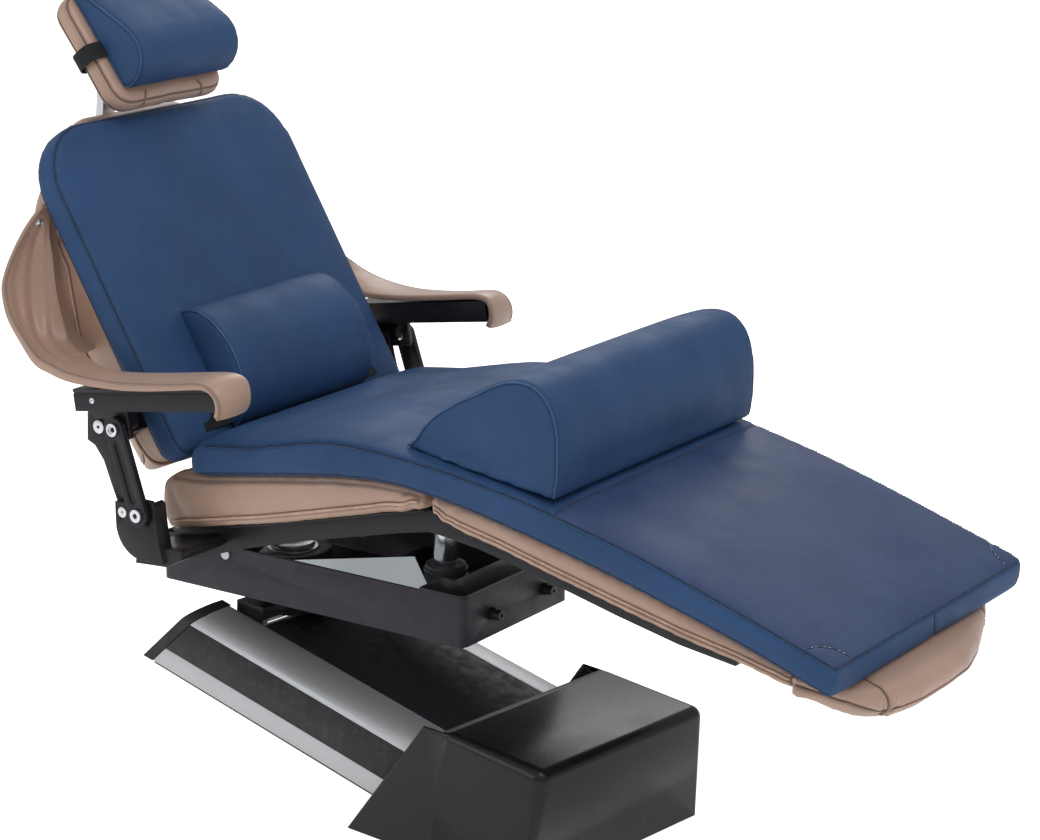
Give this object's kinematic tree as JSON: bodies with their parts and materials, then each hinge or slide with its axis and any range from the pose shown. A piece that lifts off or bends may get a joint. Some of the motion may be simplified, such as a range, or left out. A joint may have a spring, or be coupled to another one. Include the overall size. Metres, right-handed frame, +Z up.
{
  "type": "dental chair",
  "caption": "Powered dental chair with a cantilever lift arm, swivel frame, contoured seat, reclining back, sling arms, headrest and a blue overlay cushion set.",
  "frame": {"origin": "on the floor at the centre of the floor plate's four bolt holes, midway between the lift arm's two side rails", "axes": "+X toward the foot end of the base, +Y toward the patient's left, +Z up; the chair top is turned 7.5 degrees to the patient's left on its swivel at rest"},
  "size_m": [1.5401, 0.7778, 1.1578],
  "materials": {
    "cover_plastic": "gloss",
    "black_steel": "satin",
    "frame_steel": "matte",
    "rail_alloy": "satin",
    "stripe_plastic": "matte",
    "top_cover_plastic": "matte",
    "vinyl_blue": "satin",
    "vinyl_tan": "satin",
    "vinyl_tan_skin": "satin",
    "bright_steel": "polished",
    "plain_steel": "satin",
    "bronze": "satin",
    "motor_paint": "satin",
    "tank_plastic": "matte",
    "tray_paint": "satin",
    "strap_web": "matte",
    "lever_plastic": "satin"
  },
  "bodies": {
    "base": {"floor_plate": "black_steel", "base_cover": "cover_plastic", "pump_motor": "motor_paint", "fluid_reservoir": "tank_plastic", "lift_cylinder": "motor_paint", "lower_pivot_pins": "plain_steel"},
    "lift_rod": {"lift_rod": "bright_steel"},
    "lift_arm": {"arm_casting": "black_steel", "arm_side_rails": "rail_alloy", "arm_side_stripes": "stripe_plastic", "arm_top_cover": "top_cover_plastic", "arm_end_cap": "stripe_plastic", "arm_bushes": "bronze", "upper_pivot_pins": "plain_steel"},
    "level_link": {"level_links": "black_steel"},
    "platform": {"platform_yoke": "black_steel", "swivel_post": "plain_steel"},
    "upper_frame": {"upper_frame": "frame_steel", "frame_top_plate": "black_steel", "frame_end_bolts": "black_steel", "frame_tray": "tray_paint", "swivel_bearing": "plain_steel", "tilt_jack_body": "motor_paint", "tilt_pin": "plain_steel"},
    "brake_lever": {"brake_lever": "lever_plastic"},
    "tilt_jack_ram": {"tilt_jack_ram": "bright_steel"},
    "seat": {"seat_rails": "black_steel", "hinge_brackets": "black_steel", "hinge_bolts": "bright_steel", "seat_pan": "black_steel", "leg_pan": "black_steel", "seat_cushion": "vinyl_tan", "leg_cushion": "vinyl_tan", "toe_cap": "vinyl_tan", "overlay_seat_pad": "vinyl_blue", "knee_wedge": "vinyl_blue"},
    "back": {"back_plate": "black_steel", "back_side_brackets": "black_steel", "back_cushion": "vinyl_tan", "back_rear_cover": "vinyl_tan_skin", "overlay_back_pad": "vinyl_blue", "lumbar_roll": "vinyl_blue", "headrest_channel": "black_steel", "sling_left": "vinyl_tan_skin", "sling_right": "vinyl_tan_skin"},
    "arm_left": {"arm_bar_left": "black_steel", "arm_cover_left": "vinyl_tan_skin", "arm_bolts_left": "bright_steel"},
    "arm_right": {"arm_bar_right": "black_steel", "arm_cover_right": "vinyl_tan_skin", "arm_bolts_right": "bright_steel"},
    "link_left": {"link_left": "black_steel"},
    "link_right": {"link_right": "black_steel"},
    "headrest_glide": {"headrest_glide_bar": "bright_steel"},
    "headrest_knuckle": {"headrest_knuckle": "plain_steel"},
    "headrest": {"headrest_bracket": "black_steel", "headrest_cushion": "vinyl_tan", "overlay_head_cushion": "vinyl_blue", "headrest_strap": "strap_web"},
    "headrest_lever": {"headrest_lever": "lever_plastic"}
  },
  "joints": [
    {"name": "lift", "type": "hinge", "parent": "base", "child": "lift_arm", "pos_m": [-0.01, 0, 0.095], "axis": [0, 1, 0], "range_deg": [-8, 34]},
    {"name": "level_link", "type": "hinge", "parent": "base", "child": "level_link", "pos_m": [-0.027, 0, 0.055], "axis": [0, 1, 0], "range_deg": [-8, 34]},
    {"name": "lift_rod", "type": "slide", "parent": "base", "child": "lift_rod", "axis": [-1, 0, 0], "range_m": [-0.0076, 0.0319]},
    {"name": "platform_level", "type": "hinge", "parent": "lift_arm", "child": "platform", "pos_m": [-0.48196, 0, 0.18247], "axis": [0, 1, 0], "range_deg": [-34, 8]},
    {"name": "swivel", "type": "hinge", "parent": "platform", "child": "upper_frame", "pos_m": [-0.475, 0, 0.3], "axis": [0, 0, 1], "range_deg": [-37.5, 22.5]},
    {"name": "swivel_brake", "type": "hinge", "parent": "upper_frame", "child": "brake_lever", "pos_m": [-0.58657, 0.10433, 0.3], "axis": [0, 0, 1], "range_deg": [-10, 10]},
    {"name": "seat_tilt", "type": "hinge", "parent": "upper_frame", "child": "seat", "pos_m": [-0.49483, -0.00261, 0.337], "axis": [0.1305, -0.9914, 0], "range_deg": [-9, 4]},
    {"name": "tilt_jack", "type": "slide", "parent": "upper_frame", "child": "tilt_jack_ram", "axis": [0, 0, 1], "range_m": [-0.0488, 0.0218]},
    {"name": "back_recline", "type": "hinge", "parent": "seat", "child": "back", "pos_m": [-0.51168, -0.00483, 0.452], "axis": [-0.1305, 0.9914, 0], "range_deg": [-50, 2]},
    {"name": "link_left", "type": "hinge", "parent": "seat", "child": "link_left", "pos_m": [-0.52012, 0.34274, 0.456], "axis": [-0.1305, 0.9914, 0], "range_deg": [-50, 2]},
    {"name": "link_right", "type": "hinge", "parent": "seat", "child": "link_right", "pos_m": [-0.42988, -0.34274, 0.456], "axis": [-0.1305, 0.9914, 0], "range_deg": [-50, 2]},
    {"name": "arm_left", "type": "hinge", "parent": "back", "child": "arm_left", "pos_m": [-0.59507, 0.32208, 0.573], "axis": [-0.1305, 0.9914, 0], "range_deg": [-2, 50]},
    {"name": "arm_right", "type": "hinge", "parent": "back", "child": "arm_right", "pos_m": [-0.50762, -0.34219, 0.573], "axis": [-0.1305, 0.9914, 0], "range_deg": [-2, 50]},
    {"name": "headrest_slide", "type": "slide", "parent": "back", "child": "headrest_glide", "axis": [-0.5106, -0.0672, 0.8572], "range_m": [0, 0.1]},
    {"name": "headrest_swing", "type": "hinge", "parent": "headrest_glide", "child": "headrest_knuckle", "pos_m": [-0.81979, -0.04539, 1.01192], "axis": [-0.1305, 0.9914, 0], "range_deg": [-20, 1]},
    {"name": "headrest_tilt", "type": "hinge", "parent": "headrest_knuckle", "child": "headrest", "pos_m": [-0.79346, -0.04193, 1.04538], "axis": [-0.1305, 0.9914, 0], "range_deg": [-30, 2]},
    {"name": "headrest_release", "type": "hinge", "parent": "headrest", "child": "headrest_lever", "pos_m": [-0.77288, -0.03922, 1.03218], "axis": [-0.1305, 0.9914, 0], "range_deg": [-9, 0]}
  ],
  "couplings": [
    {"joint": "level_link", "follows": "lift", "ratio": 1},
    {"joint": "lift_rod", "follows": "lift", "m_per_rad": 0.0535},
    {"joint": "platform_level", "follows": "lift", "ratio": -1},
    {"joint": "tilt_jack", "follows": "seat_tilt", "m_per_rad": 0.31},
    {"joint": "link_left", "follows": "back_recline", "ratio": 1},
    {"joint": "link_right", "follows": "back_recline", "ratio": 1},
    {"joint": "arm_left", "follows": "back_recline", "ratio": -1},
    {"joint": "arm_right", "follows": "back_recline", "ratio": -1}
  ]
}
